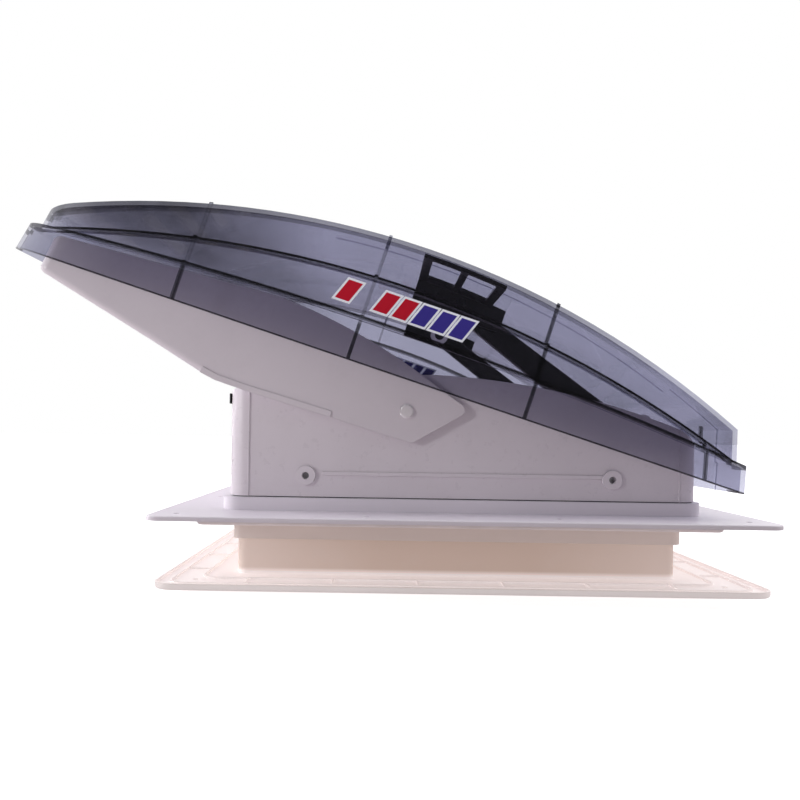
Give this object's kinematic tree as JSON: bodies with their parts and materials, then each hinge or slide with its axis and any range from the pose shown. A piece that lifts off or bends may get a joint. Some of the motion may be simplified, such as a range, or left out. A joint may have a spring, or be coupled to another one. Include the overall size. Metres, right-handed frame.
{
  "type": "roof vent cover",
  "caption": "Powered square roof vent: smoke-tinted hinged lid with swinging rain shield, white base and flange, fan, lift gear, insect screen and ceiling trim.",
  "frame": {"origin": "centre of the roof opening on the outer roof skin, which is the underside of the roof gasket", "axes": "+Z out of the roof, +X towards the lid's hinge end, +Y across the vent; the lid is drawn fully open"},
  "size_m": [0.5766, 0.463, 0.2985],
  "materials": {
    "gasket_foam": "matt closed-cell foam",
    "flange_white": "gloss",
    "seal_black": "matt",
    "shell_white": "satin",
    "screw_steel": "satin",
    "bracket_black": "satin",
    "nylon_white": "matt",
    "motor_grey": "satin",
    "spider_white": "satin",
    "box_grey": "satin",
    "garnish_ivory": "satin",
    "mesh_grey": "woven wire cloth",
    "board_green": "satin",
    "lid_smoke": "clear smoke tint",
    "badge_warm": "gloss",
    "badge_cool": "gloss",
    "shield_white": "satin",
    "arm_black": "gloss",
    "rotor_smoke": "satin",
    "knob_ivory": "satin",
    "button_grey": "matt"
  },
  "bodies": {
    "base": {"roof_gasket": "gasket_foam", "roof_flange": "flange_white", "base_seal": "seal_black", "base_shell": "shell_white", "side_screws": "screw_steel", "rear_bumpers": "seal_black", "hinge_brackets": "bracket_black", "hinge_pins": "screw_steel", "shaft_bushes": "nylon_white", "lift_motor": "motor_grey", "lift_motor_cap": "bracket_black", "motor_spider": "spider_white", "spider_screws": "screw_steel", "fan_motor": "motor_grey", "motor_cap": "bracket_black", "control_box": "box_grey", "control_box_lid": "box_grey", "motor_cable": "seal_black", "ceiling_garnish": "garnish_ivory", "screen_frame": "garnish_ivory", "insect_mesh": "mesh_grey", "keypad_housing": "garnish_ivory", "keypad_board": "board_green"},
    "lid": {"lid_dome": "lid_smoke", "lid_badge_warm": "badge_warm", "lid_badge_cool": "badge_cool", "hinge_leaves": "bracket_black", "lift_bracket_near": "bracket_black", "lift_bracket_far": "bracket_black"},
    "shield": {"rain_shield": "shield_white", "shield_pins": "nylon_white"},
    "lift": {"lift_shaft": "screw_steel", "lift_arm_near": "arm_black", "lift_arm_far": "arm_black", "lift_pins": "bracket_black", "pin_bushes": "nylon_white", "sector_gear": "nylon_white"},
    "pinion": {"drive_pinion": "nylon_white"},
    "fan": {"fan_rotor": "rotor_smoke", "fan_shaft": "screw_steel", "hub_nut": "screw_steel"},
    "knob_1": {"screen_knob_1": "knob_ivory"},
    "knob_2": {"screen_knob_2": "knob_ivory"},
    "knob_3": {"screen_knob_3": "knob_ivory"},
    "knob_4": {"screen_knob_4": "knob_ivory"},
    "button_power": {"button_power": "button_grey"},
    "button_auto": {"button_auto": "button_grey"},
    "button_fan_up": {"button_fan_up": "button_grey"},
    "button_fan_down": {"button_fan_down": "button_grey"}
  },
  "joints": [
    {"name": "lid_hinge", "type": "hinge", "parent": "base", "child": "lid", "pos_m": [0.176, 0, 0.066], "axis": [0, 1, 0], "range_deg": [-17.9, 0]},
    {"name": "lift_shaft_turn", "type": "hinge", "parent": "base", "child": "lift", "pos_m": [0.145, 0, 0.082], "axis": [0, 1, 0], "range_deg": [-21.52, 0.02]},
    {"name": "pinion_turn", "type": "hinge", "parent": "base", "child": "pinion", "pos_m": [0.06951, 0, 0.06177], "axis": [0, 1, 0], "range_deg": [-0.02, 98.31]},
    {"name": "shield_pivot", "type": "hinge", "parent": "base", "child": "shield", "pos_m": [-0.0419, 0, 0.0889], "axis": [0, 1, 0], "range_deg": [-28.02, 0.02]},
    {"name": "fan_spin", "type": "hinge", "parent": "base", "child": "fan", "pos_m": [0, 0, 0], "axis": [0, 0, 1], "continuous": true},
    {"name": "screen_knob_1_turn", "type": "hinge", "parent": "base", "child": "knob_1", "pos_m": [-0.154, -0.154, -0.044], "axis": [0, 0, 1], "range_deg": [-90, 0]},
    {"name": "screen_knob_2_turn", "type": "hinge", "parent": "base", "child": "knob_2", "pos_m": [0.154, -0.154, -0.044], "axis": [0, 0, 1], "range_deg": [0, 90]},
    {"name": "screen_knob_3_turn", "type": "hinge", "parent": "base", "child": "knob_3", "pos_m": [-0.154, 0.154, -0.044], "axis": [0, 0, 1], "range_deg": [0, 90]},
    {"name": "screen_knob_4_turn", "type": "hinge", "parent": "base", "child": "knob_4", "pos_m": [0.154, 0.154, -0.044], "axis": [0, 0, 1], "range_deg": [-90, 0]},
    {"name": "button_power_press", "type": "slide", "parent": "base", "child": "button_power", "axis": [0, 0, 1], "range_m": [0, 0.0015], "stiffness_N_per_m": 400},
    {"name": "button_auto_press", "type": "slide", "parent": "base", "child": "button_auto", "axis": [0, 0, 1], "range_m": [0, 0.0015], "stiffness_N_per_m": 400},
    {"name": "button_fan_up_press", "type": "slide", "parent": "base", "child": "button_fan_up", "axis": [0, 0, 1], "range_m": [0, 0.0015], "stiffness_N_per_m": 400},
    {"name": "button_fan_down_press", "type": "slide", "parent": "base", "child": "button_fan_down", "axis": [0, 0, 1], "range_m": [0, 0.0015], "stiffness_N_per_m": 400}
  ],
  "couplings": [
    {"joint": "lift_shaft_turn", "follows": "lid_hinge", "ratio": 1.2011},
    {"joint": "pinion_turn", "follows": "lid_hinge", "ratio": -5.4908},
    {"joint": "shield_pivot", "follows": "lid_hinge", "ratio": 1.5642}
  ]
}
